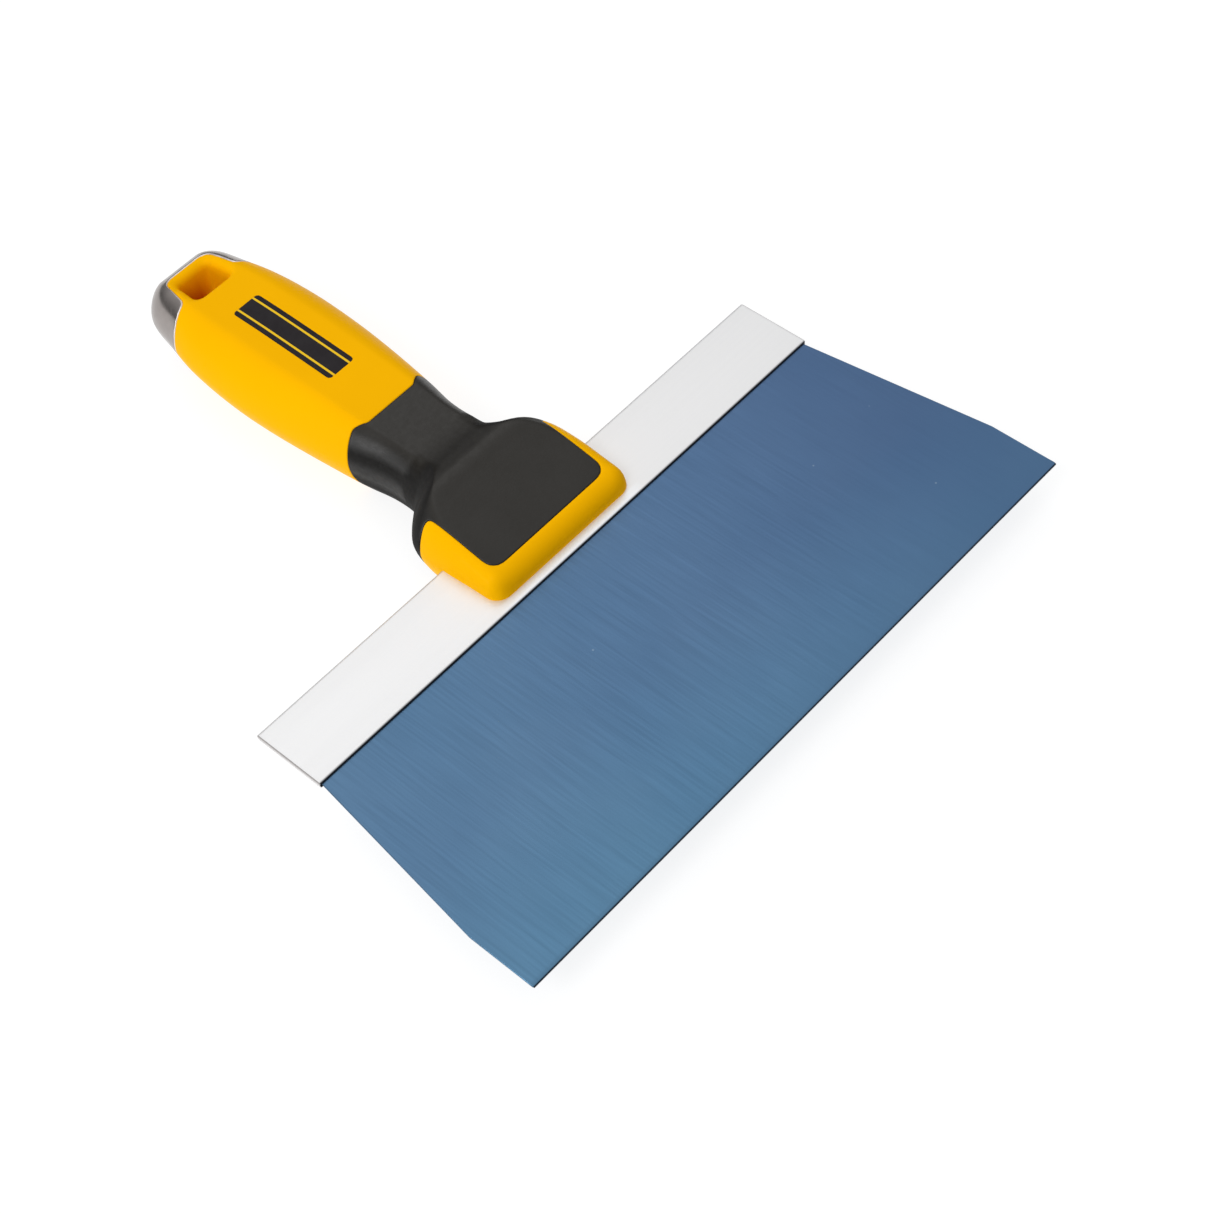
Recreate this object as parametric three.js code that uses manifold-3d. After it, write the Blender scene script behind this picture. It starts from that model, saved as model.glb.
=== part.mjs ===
// Drywall taping knife, 6 inch: a blued spring steel blade in a folded aluminium back bar,
// riveted to a steel tang that runs up a two-part moulded handle with a metal hammer cap.
//
// Millimetres, +Z up. The knife is drawn with x along the working edge, y from the edge
// towards the butt and z from the middle of the blade, then moved so that it lies flat on
// its handle: the origin is on the surface, under the middle of the whole knife.
import * as THREE from "three";
import { mergeVertices } from "three/addons/utils/BufferGeometryUtils.js";
import Module from "manifold-3d";

const wasm = await Module();
wasm.setup();

// ---- driving dimensions, mm ----
const EDGE_WIDTH = 152.4; // the working edge, 6 inches
const LENGTH = 180.8; // working edge to butt
const BLADE_THICK = 0.5;
const SIDE_STRAIGHT = 16; // how far the blade's sides stay parallel, from the edge
const SIDE_TAPER = 0.128; // how much each side then draws in, per mm towards the bar

const BAR_LENGTH = 141.8;
const BAR_FRONT = 60.7; // y of the bar's lip
const BAR_REAR = 78.6; // y of the outside of its fold
const BAR_THICK = 1.8; // both flanges and the slot between them
const BAR_SLOT = 0.62;
const LIP_EASE = 0.35; // chamfer on the lip's outer corners

const HEAD_FRONT = 63; // y of the handle's front face, where it clasps the bar
const REST_DEPTH = 10.3; // the flat facet underneath lies this far below the blade
const GRIP_DEPTH = 2; // thickness of the soft overmould
const GAP = 0.15; // clearance between pieces that are moulded or pressed together

const TANG_THICK = 1.8;
const RIVET_RADIUS = 2;
const RIVET_PITCH = 10.5;
const RIVET_Y = 72;
const RIVET_COUNT = 3;

// ---- colours and finishes ----
const FINISH = {
  blade: { color: 0x55769a, roughness: 0.38, metalness: 0.75 },
  bar: { color: 0xe9e9ea, roughness: 0.42, metalness: 0.6 },
  steel: { color: 0x8d9094, roughness: 0.4, metalness: 0.9 },
  yellow: { color: 0xfbb800, roughness: 0.45, metalness: 0 },
  rubber: { color: 0x3d3a39, roughness: 0.75, metalness: 0 },
  cap: { color: 0x8e8a87, roughness: 0.25, metalness: 0.95 },
  label: { color: 0x2c292b, roughness: 0.5, metalness: 0 },
};

const knife = new THREE.Group();
knife.position.set(0, -LENGTH / 2, REST_DEPTH);

// Adds one named piece.
function piece(name, geometry, finish) {
  const mesh = new THREE.Mesh(geometry, new THREE.MeshStandardMaterial(FINISH[finish]));
  mesh.name = name;
  knife.add(mesh);
}

// ---- joins and cuts ----
function solid(geometry) {
  const bare = geometry.clone();
  bare.deleteAttribute("normal");
  bare.deleteAttribute("uv");
  const merged = mergeVertices(bare, 1e-4);
  return new wasm.Manifold(
    new wasm.Mesh({
      numProp: 3,
      vertProperties: merged.attributes.position.array,
      triVerts: new Uint32Array(merged.index.array),
    }),
  );
}

function geometryOf(manifold) {
  const mesh = manifold.getMesh();
  const geometry = new THREE.BufferGeometry();
  geometry.setAttribute("position", new THREE.BufferAttribute(mesh.vertProperties, 3));
  geometry.setIndex(new THREE.BufferAttribute(mesh.triVerts, 1));
  geometry.computeVertexNormals();
  return geometry;
}

// A flat outline in x and y, extruded from z = low to z = high.
function plate(shape, low, high, curveSegments = 6) {
  const depth = high - low;
  const geometry = new THREE.ExtrudeGeometry(shape, { depth, bevelEnabled: false, curveSegments });
  return geometry.translate(0, 0, low);
}

// A side profile, drawn with its x as the knife's y and its y as z, extruded across the knife.
function across(shape, width, curveSegments = 6) {
  const options = { depth: width, bevelEnabled: false, curveSegments };
  const geometry = new THREE.ExtrudeGeometry(shape, options);
  const axes = new THREE.Matrix4().set(0, 0, 1, -width / 2, 1, 0, 0, 0, 0, 1, 0, 0, 0, 0, 0, 1);
  return geometry.applyMatrix4(axes);
}

function box(width, yLow, yHigh, zLow, zHigh, x = 0) {
  const geometry = new THREE.BoxGeometry(width, yHigh - yLow, zHigh - zLow);
  return geometry.translate(x, (yLow + yHigh) / 2, (zLow + zHigh) / 2);
}

const ROUND_SIDES = 16;

// An upright round bar, used for holes, pockets and posts.
function upright(radius, x, y, zLow, zHigh) {
  const geometry = new THREE.CylinderGeometry(radius, radius, zHigh - zLow, ROUND_SIDES);
  geometry.rotateX(Math.PI / 2);
  return geometry.translate(x, y, (zLow + zHigh) / 2);
}

// An outline through the corners given, each one rounded to its radius: [x, y, radius].
function roundedOutline(corners) {
  const shape = new THREE.Shape();
  const at = (i) => new THREE.Vector2(...corners[(i + corners.length) % corners.length]);
  corners.forEach(([, , radius], i) => {
    const corner = at(i);
    const back = at(i - 1).sub(corner);
    const ahead = at(i + 1).sub(corner);
    const half = Math.acos(back.clone().normalize().dot(ahead.clone().normalize())) / 2;
    const reach = radius / Math.tan(half);
    const start = corner.clone().add(back.setLength(reach));
    const end = corner.clone().add(ahead.setLength(reach));
    if (i === 0) shape.moveTo(start.x, start.y);
    else shape.lineTo(start.x, start.y);
    if (radius > 0) shape.quadraticCurveTo(corner.x, corner.y, end.x, end.y);
  });
  shape.closePath();
  return shape;
}

// The same outline mirrored about x = 0: the corners given run up the right-hand side.
function mirroredOutline(right) {
  const left = right.map(([x, y, radius]) => [-x, y, radius]).reverse();
  return roundedOutline([...right, ...left]);
}

// ---- rivet places ----
const FIRST_RIVET = (-RIVET_PITCH * (RIVET_COUNT - 1)) / 2;
const rivetX = Array.from({ length: RIVET_COUNT }, (_, i) => FIRST_RIVET + i * RIVET_PITCH);

// A body with the rivet holes put through it.
function drilled(body, zLow, zHigh) {
  const bore = (x) => solid(upright(RIVET_RADIUS + GAP, x, RIVET_Y, zLow, zHigh));
  return rivetX.reduce((left, x) => left.subtract(bore(x)), body);
}

// ---- blade ----
function bladeGeometry() {
  const rear = BAR_REAR - BAR_THICK / 2 - GAP;
  const half = EDGE_WIDTH / 2;
  const rearHalf = half - (rear - SIDE_STRAIGHT) * SIDE_TAPER;
  const outline = mirroredOutline([
    [half, 0, 0],
    [half, SIDE_STRAIGHT, 0],
    [rearHalf, rear, 0],
  ]);
  const body = solid(plate(outline, -BLADE_THICK / 2, BLADE_THICK / 2));
  return geometryOf(drilled(body, -BLADE_THICK, BLADE_THICK));
}

// ---- back bar: a sheet folded into a channel, open at the front, round at the rear ----
function barGeometry() {
  const outer = BAR_THICK / 2;
  const inner = BAR_SLOT / 2;
  const fold = BAR_REAR - outer;
  const quarter = Math.PI / 2;
  const shape = new THREE.Shape();
  shape.moveTo(BAR_FRONT, inner);
  shape.lineTo(fold, inner);
  shape.absarc(fold, 0, inner, quarter, -quarter, true);
  shape.lineTo(BAR_FRONT, -inner);
  shape.lineTo(BAR_FRONT, LIP_EASE - outer);
  shape.lineTo(BAR_FRONT + LIP_EASE, -outer);
  shape.lineTo(fold, -outer);
  shape.absarc(fold, 0, outer, -quarter, quarter, false);
  shape.lineTo(BAR_FRONT + LIP_EASE, outer);
  shape.lineTo(BAR_FRONT, outer - LIP_EASE);
  return geometryOf(drilled(solid(across(shape, BAR_LENGTH)), -BAR_THICK, BAR_THICK));
}

// ---- tang: a plate under the bar, joggled up to the middle of the handle ----
const TANG_HEAD = { half: 15.5, front: 66, rear: 78.5 };
const TANG_SHANK_HALF = 4.5;
const TANG_FLARE = 4; // length over which the shank widens into the head plate
const TANG_END = 161;
const TANG_CORNER = 2;
const TANG_LOW = -BAR_THICK / 2 - 0.05 - TANG_THICK; // underside of the plate below the bar
const TANG_HIGH = -0.6; // underside of the shank in the handle
const JOGGLE = { from: 80.5, to: 86.5, bend: 1 };
const ANCHOR_HOLES = [104, 126, 148]; // y of the holes that the handle is moulded through
const ANCHOR_RADIUS = 2.2;

// The tang's plate before its holes are made, grown by some clearance.
function tangPlate(clearance) {
  const c = clearance;
  const blank = mirroredOutline([
    [TANG_HEAD.half + c, TANG_HEAD.front - c, TANG_CORNER],
    [TANG_HEAD.half + c, TANG_HEAD.rear + c, TANG_CORNER],
    [TANG_SHANK_HALF + c, TANG_HEAD.rear + TANG_FLARE + c, TANG_CORNER],
    [TANG_SHANK_HALF + c, TANG_END + c, TANG_CORNER],
  ]);
  const front = TANG_HEAD.front - 2 * c;
  const rear = TANG_END + 2 * c;
  const { from, to, bend } = JOGGLE;
  const sheet = roundedOutline([
    [front, TANG_LOW - c, 0],
    [from + c, TANG_LOW - c, bend],
    [to + c, TANG_HIGH - c, bend],
    [rear, TANG_HIGH - c, 0],
    [rear, TANG_HIGH + TANG_THICK + c, 0],
    [to - bend - c, TANG_HIGH + TANG_THICK + c, bend],
    [from - bend - c, TANG_LOW + TANG_THICK + c, bend],
    [front, TANG_LOW + TANG_THICK + c, 0],
  ]);
  const bent = solid(across(sheet, 3 * TANG_HEAD.half, 3));
  return solid(plate(blank, 2 * TANG_LOW, -2 * TANG_LOW, 3)).intersect(bent);
}

// Upright bars at the tang's anchor holes.
function anchors(radius) {
  const bars = ANCHOR_HOLES.map((y) => solid(upright(radius, 0, y, TANG_LOW, -TANG_LOW)));
  return bars[0].add(bars[1]).add(bars[2]);
}

function tangGeometry() {
  return geometryOf(drilled(tangPlate(0), 2 * TANG_LOW, 0).subtract(anchors(ANCHOR_RADIUS)));
}

// ---- rivets: a domed head on the bar, a flat one under the tang ----
const RIVET_HEAD = { radius: 3.4, height: 0.9, edge: 0.4, lift: 0.03 };
const HEAD_ROOM = 1.15; // height of the pocket over each rivet head

function rivetGeometry(x) {
  const { radius, height, edge, lift } = RIVET_HEAD;
  const top = BAR_THICK / 2 + lift;
  const foot = TANG_LOW - lift;
  const profile = [
    [0, foot - height],
    [radius - edge, foot - height],
    [radius, foot - height + edge],
    [radius, foot],
    [RIVET_RADIUS, foot],
    [RIVET_RADIUS, top],
    [radius, top],
    [radius * 0.9, top + height * 0.5],
    [radius * 0.55, top + height * 0.9],
    [0, top + height],
  ].map(([r, z]) => new THREE.Vector2(r, z));
  const geometry = new THREE.LatheGeometry(profile, ROUND_SIDES);
  return geometry.rotateX(Math.PI / 2).translate(x, RIVET_Y, 0);
}

// ---- handle: one smooth body, from which the moulded pieces are cut ----
// Each station gives the section at y: half the width, the height of the top facet above the
// blade, the depth of the bottom facet below it, half the facet's width, and how square the
// side between the facets is (2 is an ellipse, more is squarer, less is nearer to a chamfer).
const STATIONS = [
  // y, half width, top, depth, half facet, squareness
  [63, 19.7, 5.4, 5.4, 16, 2.6],
  [70, 19.9, 6.8, 6.8, 16, 2.3],
  [78, 20.3, 8.4, 8.4, 15.6, 1.9],
  [84, 20.1, 9.7, 9.7, 14, 1.7],
  [88, 19, 10.5, 10.5, 11, 1.62],
  [91, 16.4, 10.2, 10.4, 7.8, 1.45],
  [94, 12.9, 9.7, 10, 6.3, 1.5],
  [98, 11.2, 9.4, 9.7, 6.4, 1.8],
  [104, 11.1, 9.4, 9.7, 6.5, 1.8],
  [112, 12.5, 9.8, 10.2, 6.9, 1.8],
  [124, 14.2, 10.4, 10.5, 7.2, 1.75],
  [137, 15.35, 10.8, 10.5, 7.4, 1.75],
  [150, 15.55, 11, 9.9, 7.4, 1.75],
  [162, 14.6, 10.7, 8.9, 7.2, 1.7],
  [172, 12.4, 10, 8, 6.6, 1.7],
  [182, 10.9, 9.7, 7.8, 5.6, 1.7],
];
const stationTable = new THREE.CubicInterpolant(
  STATIONS.map(([y]) => y),
  STATIONS.flatMap(([, ...values]) => values),
  STATIONS[0].length - 1,
);

const BUTT_START = 170.5; // from here the handle rounds off towards the butt
const BUTT_REACH = 10.9;
const BUTT_ROUND = { width: 3.6, height: 2.6 }; // superellipse powers, in plan and from the side
const FRONT_ROUND = 3.4; // radius of the head's front edges
const FRONT_LAND = 0.12; // how much of that radius is left to the flat front face

// A superellipse's half height at a share t of its length.
const fade = (t, power) => (1 - Math.min(Math.max(t, 0), 1) ** power) ** (1 / power);

function sectionAt(y) {
  const [halfWidth, top, depth, facet, squareness] = stationTable.evaluate(y);
  const inFront = Math.max(HEAD_FRONT + FRONT_ROUND * (1 - FRONT_LAND) - y, 0) / FRONT_ROUND;
  const shy = FRONT_ROUND * (1 - Math.sqrt(1 - inFront ** 2));
  const along = (y - BUTT_START) / BUTT_REACH;
  const narrow = fade(along, BUTT_ROUND.width);
  const low = fade(along, BUTT_ROUND.height);
  return {
    halfWidth: halfWidth * narrow - shy,
    top: top * low - shy,
    depth: Math.min(depth, REST_DEPTH) * low - shy,
    facet: facet * narrow - shy,
    squareness,
  };
}

const SIDE_STEPS = 6; // facets from the top facet to the widest line

// The section's outline as [x, z] points, clockwise from the top facet's right-hand end.
function ring(y, inset) {
  const { halfWidth, top, depth, facet, squareness } = sectionAt(y);
  const middle = (top - depth) / 2;
  const side = halfWidth - facet - inset;
  const right = [];
  for (let step = 0; step <= 2 * SIDE_STEPS; step += 1) {
    const angle = (Math.PI / 2) * (1 - step / SIDE_STEPS);
    const reach = Math.cos(angle) ** (2 / squareness);
    const rise = Math.abs(Math.sin(angle)) ** (2 / squareness);
    const half = step <= SIDE_STEPS ? top - middle - inset : -(depth + middle - inset);
    right.push([facet + side * reach, middle + half * rise]);
  }
  const left = right.map(([x, z]) => [-x, z]).reverse();
  return [...right, ...left];
}

const FRONT_RINGS = [0, 0.25, 0.8, 1.6, 2.7]; // distances from the front face
const RING_PITCH = 3.1;
const NECK = { from: 84, to: 102, pitch: 2 }; // rings stand closer round the waist
const BUTT_RINGS = 7;

// Where the rings stand: close together at the rounded ends and round the neck.
function ringPlaces(from, to) {
  const places = FRONT_RINGS.map((offset) => from + offset);
  let last = places.at(-1);
  while (last < BUTT_START - RING_PITCH / 2) {
    last += last > NECK.from && last < NECK.to ? NECK.pitch : RING_PITCH;
    places.push(last);
  }
  const start = places.at(-1);
  for (let i = 1; i <= BUTT_RINGS; i += 1) {
    places.push(start + (to - start) * Math.sin((Math.PI / 2) * (i / BUTT_RINGS)));
  }
  return places;
}

// The handle's outer body, or one that lies a given inset inside it.
function handle(inset = 0) {
  const places = ringPlaces(HEAD_FRONT + inset, LENGTH - inset);
  const rings = places.map((y) => ({ y, points: ring(y, inset) }));
  const count = rings[0].points.length;
  const positions = rings.flatMap(({ y, points }) => points.flatMap(([x, z]) => [x, y, z]));
  const index = [];
  rings.slice(1).forEach((_, r) => {
    for (let i = 0; i < count; i += 1) {
      const j = (i + 1) % count;
      const a = r * count;
      const b = a + count;
      index.push(a + i, a + j, b + j, a + i, b + j, b + i);
    }
  });
  [0, rings.length - 1].forEach((r) => {
    const outline = rings[r].points.map(([x, z]) => new THREE.Vector2(x, z));
    THREE.ShapeUtils.triangulateShape(outline, []).forEach((corners) => {
      const facing = r === 0 ? corners : [...corners].reverse();
      index.push(...facing.map((corner) => r * count + corner));
    });
  });
  const geometry = new THREE.BufferGeometry();
  geometry.setAttribute("position", new THREE.Float32BufferAttribute(positions, 3));
  geometry.setIndex(index);
  return solid(geometry);
}

const TALL = 2 * REST_DEPTH; // above and below any part of the handle
const BEYOND = 30; // outside the handle's sides

// The overmould: a pad on the head that leaves a frame at the front and sides, then from the
// lobes back a sleeve round the neck, whose rear edge stands back on the flanks.
const PAD = { half: 16.4, front: 66.6, corner: 3.4 };
const LOBE = { rear: 85.1, corner: 1.6 };
const SLEEVE = { topHalf: 6.6, topRear: 111.6, flankHalf: 9.4, flankRear: 113.6, corner: 1.2 };

function gripZone(grow) {
  const g = grow;
  const outline = mirroredOutline([
    [PAD.half + g, PAD.front - g, PAD.corner],
    [PAD.half + g, LOBE.rear - g, LOBE.corner],
    [BEYOND, LOBE.rear - g, 0],
    [BEYOND, SLEEVE.flankRear + g, 0],
    [SLEEVE.flankHalf + g, SLEEVE.flankRear + g, SLEEVE.corner],
    [SLEEVE.topHalf + g, SLEEVE.topRear + g, SLEEVE.corner],
  ]);
  return solid(plate(outline, -TALL, TALL));
}

// The boss that the hammer cap clasps, and everything ahead of the cap, whose cheeks reach
// a little further forward on the flanks.
const BOSS = { frontHalf: 7.5, rearHalf: 5.8, rear: 176.7, notch: 1.8, corner: 3 };
const CAP_FRONT = 167.7;
const CAP_SWEEP = 0.15; // mm forward for each mm outward

function coreZone(grow) {
  const g = grow;
  const outline = mirroredOutline([
    [BEYOND, 0, 0],
    [BEYOND, CAP_FRONT + g - CAP_SWEEP * (BEYOND - BOSS.frontHalf), 0],
    [BOSS.frontHalf + g, CAP_FRONT + g, BOSS.notch],
    [BOSS.rearHalf + g, BOSS.rear + g, BOSS.corner],
  ]);
  return solid(plate(outline, -TALL, TALL));
}

// ---- hang hole, through the boss from top to bottom ----
const HOLE = { front: 165.8, rear: 174.2, frontHalf: 5.2, rearHalf: 4.5, corner: 1.9 };

function hangHole() {
  const outline = mirroredOutline([
    [HOLE.frontHalf, HOLE.front, HOLE.corner],
    [HOLE.rearHalf, HOLE.rear, HOLE.corner],
  ]);
  return solid(plate(outline, -TALL, TALL));
}

// ---- label: a plain thin panel let into the top facet, following its slight crown ----
const LABEL = { half: 3.6, from: 126, to: 156, corner: 0.9, thick: 0.3, glue: 0.05 };

function labelZone(grow) {
  const g = grow;
  const outline = mirroredOutline([
    [LABEL.half + g, LABEL.from - g, LABEL.corner],
    [LABEL.half + g, LABEL.to + g, LABEL.corner],
  ]);
  return solid(plate(outline, 0, TALL, 3));
}

// ---- cap legs: they run forward inside the core and lock the cap into it ----
const LEG = { x: 8.6, thick: 2, from: 157, into: 2, high: 2.6, toeLength: 2.4, toe: 1.2 };

function capLegs(clearance) {
  const c = clearance;
  const wide = LEG.thick + 2 * c;
  const high = LEG.high + c;
  const toe = LEG.high + LEG.toe + c;
  const front = LEG.from - c;
  const legs = [-LEG.x, LEG.x].map((x) => {
    const shank = solid(box(wide, front, CAP_FRONT + LEG.into, -high, high, x));
    const hook = solid(box(wide, front, LEG.from + LEG.toeLength + c, -toe, toe, x));
    return shank.add(hook);
  });
  return legs[0].add(legs[1]);
}

// ---- the moulded and cast pieces of the handle ----
const outer = handle();

function gripGeometry() {
  return geometryOf(outer.intersect(gripZone(0)).subtract(handle(GRIP_DEPTH)));
}

function capGeometry() {
  return geometryOf(outer.subtract(coreZone(GAP)).add(capLegs(0)));
}

function coreGeometry() {
  const slotHalf = BAR_THICK / 2 + GAP;
  const barSlot = solid(box(BAR_LENGTH, 0, BAR_REAR + GAP, -slotHalf, slotHalf));
  const pocketRadius = RIVET_HEAD.radius + 2 * GAP;
  const pocketLow = TANG_LOW - HEAD_ROOM;
  const pocketHigh = BAR_THICK / 2 + HEAD_ROOM;
  const pocket = (x) => solid(upright(pocketRadius, x, RIVET_Y, pocketLow, pocketHigh));
  const cuts = [
    barSlot,
    ...rivetX.map(pocket),
    tangPlate(GAP).subtract(anchors(ANCHOR_RADIUS - GAP)),
    capLegs(GAP),
    hangHole(),
    labelZone(GAP).subtract(handle(LABEL.thick + LABEL.glue)),
  ];
  const shown = outer.subtract(gripZone(GAP)).intersect(coreZone(0));
  const inner = handle(GRIP_DEPTH + GAP).intersect(coreZone(0));
  return geometryOf(cuts.reduce((left, cut) => left.subtract(cut), shown.add(inner)));
}

function labelGeometry() {
  return geometryOf(outer.intersect(labelZone(0)).subtract(handle(LABEL.thick)));
}

piece("blade", bladeGeometry(), "blade");
piece("backing_bar", barGeometry(), "bar");
piece("tang", tangGeometry(), "steel");
rivetX.forEach((x, i) => piece(`tang_rivet_${i + 1}`, rivetGeometry(x), "steel"));
piece("handle_core", coreGeometry(), "yellow");
piece("grip_overmould", gripGeometry(), "rubber");
piece("hammer_cap", capGeometry(), "cap");
piece("label_panel", labelGeometry(), "label");

export default knife;
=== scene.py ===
"""Looks of the drywall taping knife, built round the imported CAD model.

Lengths are in millimetres up to the last step, where each piece is moved into the model's
frame and turned into metres. As in the CAD model, x runs along the working edge, y from the
edge towards the butt, and z is measured from the middle of the blade.
"""
import math

import bpy
import numpy as np
from mathutils import Matrix, Vector

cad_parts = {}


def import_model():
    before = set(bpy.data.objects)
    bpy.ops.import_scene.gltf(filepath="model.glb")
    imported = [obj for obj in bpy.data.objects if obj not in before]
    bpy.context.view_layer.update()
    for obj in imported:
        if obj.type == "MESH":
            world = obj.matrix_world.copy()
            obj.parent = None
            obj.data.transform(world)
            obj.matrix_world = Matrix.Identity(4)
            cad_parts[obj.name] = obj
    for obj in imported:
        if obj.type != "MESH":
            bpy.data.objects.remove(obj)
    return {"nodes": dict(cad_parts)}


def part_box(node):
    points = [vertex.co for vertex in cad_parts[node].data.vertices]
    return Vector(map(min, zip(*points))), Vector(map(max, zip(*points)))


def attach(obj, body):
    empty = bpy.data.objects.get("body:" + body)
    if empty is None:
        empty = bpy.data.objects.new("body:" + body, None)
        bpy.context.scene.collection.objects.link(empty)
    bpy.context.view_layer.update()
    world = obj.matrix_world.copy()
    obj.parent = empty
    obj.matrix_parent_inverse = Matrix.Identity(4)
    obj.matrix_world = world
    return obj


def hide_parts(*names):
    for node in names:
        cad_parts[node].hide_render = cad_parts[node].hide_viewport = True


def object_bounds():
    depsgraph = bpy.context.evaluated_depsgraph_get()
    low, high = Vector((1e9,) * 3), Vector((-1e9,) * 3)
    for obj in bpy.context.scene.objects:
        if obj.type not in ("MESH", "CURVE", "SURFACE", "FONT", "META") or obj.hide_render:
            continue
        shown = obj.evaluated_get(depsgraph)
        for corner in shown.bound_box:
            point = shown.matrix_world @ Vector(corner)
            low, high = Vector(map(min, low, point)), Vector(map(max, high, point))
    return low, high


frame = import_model()
cad_box = [list(corner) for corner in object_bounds()]

MM = 0.001
TINY = 1e-9
LOW, HIGH = (np.array(corner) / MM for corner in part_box("blade"))
MID_Z = (LOW[2] + HIGH[2]) / 2  # height of the blade's middle
EDGE_Y = LOW[1]  # y of the working edge in the model's frame

# ---------------------------------------------------------------- dimensions, mm
LENGTH = (cad_box[1][1] - cad_box[0][1]) / MM
EDGE_WIDTH = HIGH[0] - LOW[0]
BLADE_THICK = HIGH[2] - LOW[2]
SIDE_STRAIGHT = 16  # how far the blade's sides run straight back from its edge
SIDE_TAPER = 0.128  # how much each side then draws in for each mm

BAR_LOW, BAR_HIGH = (np.array(corner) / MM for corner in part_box("backing_bar"))
BAR_HALF = BAR_HIGH[0]
BAR_FRONT = BAR_LOW[1] - EDGE_Y
BAR_REAR = BAR_HIGH[1] - EDGE_Y
BAR_OUTER = (BAR_HIGH[2] - BAR_LOW[2]) / 2
BAR_INNER = 0.31  # half height of the slot that holds the blade

HEAD_FRONT = 63  # how far back from the working edge the head begins
REST_DEPTH = 10.3  # depth of the flat facet underneath, which the knife lies on
FRONT_ROUND = 3.4  # radius of the head's front edge
BUTT_START = 170.5  # where the butt begins to round off
BUTT_REACH = 10.9  # how far the rounding would run on to its tip
BUTT_WIDE = 3.6  # squareness of the rounding in plan
BUTT_HIGH = 2.6  # and in side view

# The handle's sections: y, half width, top, depth, half facet, squareness of the flank
STATIONS = np.array([
    [63, 19.7, 5.4, 5.4, 16, 2.6],
    [70, 19.9, 6.8, 6.8, 16, 2.3],
    [78, 20.3, 8.4, 8.4, 15.6, 1.9],
    [84, 20.1, 9.7, 9.7, 14, 1.7],
    [88, 19, 10.5, 10.5, 11, 1.62],
    [91, 16.4, 10.2, 10.4, 7.8, 1.45],
    [94, 12.9, 9.7, 10, 6.3, 1.5],
    [98, 11.2, 9.4, 9.7, 6.4, 1.8],
    [104, 11.1, 9.4, 9.7, 6.5, 1.8],
    [112, 12.5, 9.8, 10.2, 6.9, 1.8],
    [124, 14.2, 10.4, 10.5, 7.2, 1.75],
    [137, 15.35, 10.8, 10.5, 7.4, 1.75],
    [150, 15.55, 11, 9.9, 7.4, 1.75],
    [162, 14.6, 10.7, 8.9, 7.2, 1.7],
    [172, 12.4, 10, 8, 6.6, 1.7],
    [182, 10.9, 9.7, 7.8, 5.6, 1.7],
])


# ---------------------------------------------------------------- the handle's skin
def smooth_table(table, at):
    """Values of the table at the places given, by the same smooth interpolation as the CAD."""
    stops, values = table[:, 0], table[:, 1:]
    last = len(stops) - 1
    right = np.clip(np.searchsorted(stops, at, side="right"), 1, last)
    left = right - 1
    before = np.where(right < 2, right, right - 2)
    after = np.where(right == last, left, np.minimum(right + 1, last))
    half = (stops[right] - stops[left]) / 2
    back = half / (stops[left] - stops[before])
    on = half / (stops[after] - stops[right])
    p = (at - stops[left]) / (stops[right] - stops[left])
    return (
        (-back * p**3 + 2 * back * p**2 - back * p) * values[before].T
        + ((1 + back) * p**3 + (-1.5 - 2 * back) * p**2 + (-0.5 + back) * p + 1) * values[left].T
        + ((-1 - on) * p**3 + (1.5 + on) * p**2 + 0.5 * p) * values[right].T
        + (on * p**3 - on * p**2) * values[after].T
    )


def fade(share, power):
    """1 up to the start of a rounded end, and 0 at its tip."""
    return (1 - np.clip(share, 0, 1) ** power) ** (1 / power)


def skin(y, q):
    """Points of the handle's surface. q runs round the section: 0 is the middle of the top
    facet, 1 its right-hand end, 2 the right flank, 3 to 5 the bottom facet, 8 the start."""
    half_width, top, depth, facet, squareness = smooth_table(STATIONS, y)
    front = np.maximum(HEAD_FRONT + FRONT_ROUND - y, 0) / FRONT_ROUND
    shy = FRONT_ROUND * (1 - np.sqrt(np.clip(1 - front**2, 0, 1)))
    along = (y - BUTT_START) / BUTT_REACH
    narrow, low = fade(along, BUTT_WIDE), fade(along, BUTT_HIGH)
    half_width = half_width * narrow - shy
    top = top * low - shy
    depth = np.minimum(depth, REST_DEPTH) * low - shy
    facet = facet * narrow - shy
    side = np.where(q > 4, -1, 1)
    q = np.where(q > 4, 8 - q, q)
    angle = np.pi / 2 * (2 - np.clip(q, 1, 3))
    reach = np.abs(np.cos(angle)) ** (2 / squareness)
    rise = np.abs(np.sin(angle)) ** (2 / squareness)
    middle = (top - depth) / 2
    x = facet * np.clip(np.minimum(q, 4 - q), 0, 1) + (half_width - facet) * reach
    z = middle + np.where(q <= 2, top - middle, -(depth + middle)) * rise
    return np.stack([side * x, y, z], -1)


def skin_normal(y, q):
    """Outward normals of the skin, by small differences."""
    step = 0.02
    along = skin(np.minimum(y + step, LENGTH), q) - skin(np.maximum(y - step, HEAD_FRONT), q)
    around = skin(y, (q + step) % 8) - skin(y, (q - step) % 8)
    across = np.cross(around, along)
    length = np.linalg.norm(across, axis=-1, keepdims=True)
    return across / np.maximum(length, TINY)


FACET_STEPS = 14  # points on half a facet
FLANK_STEPS = 22  # points on half a flank
FRONT_ROWS = 9
BUTT_ROWS = 22
ROW_STEP = 0.55  # between the sections from there to the butt


def ring_stops():
    """The q of each point round a section."""
    facet = np.linspace(0, 1, FACET_STEPS, endpoint=False)
    flank = np.linspace(1, 3, 2 * FLANK_STEPS, endpoint=False)
    right = np.concatenate([facet, flank, facet + 3])
    return np.concatenate([right, [4], 8 - right[:0:-1]])


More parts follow.
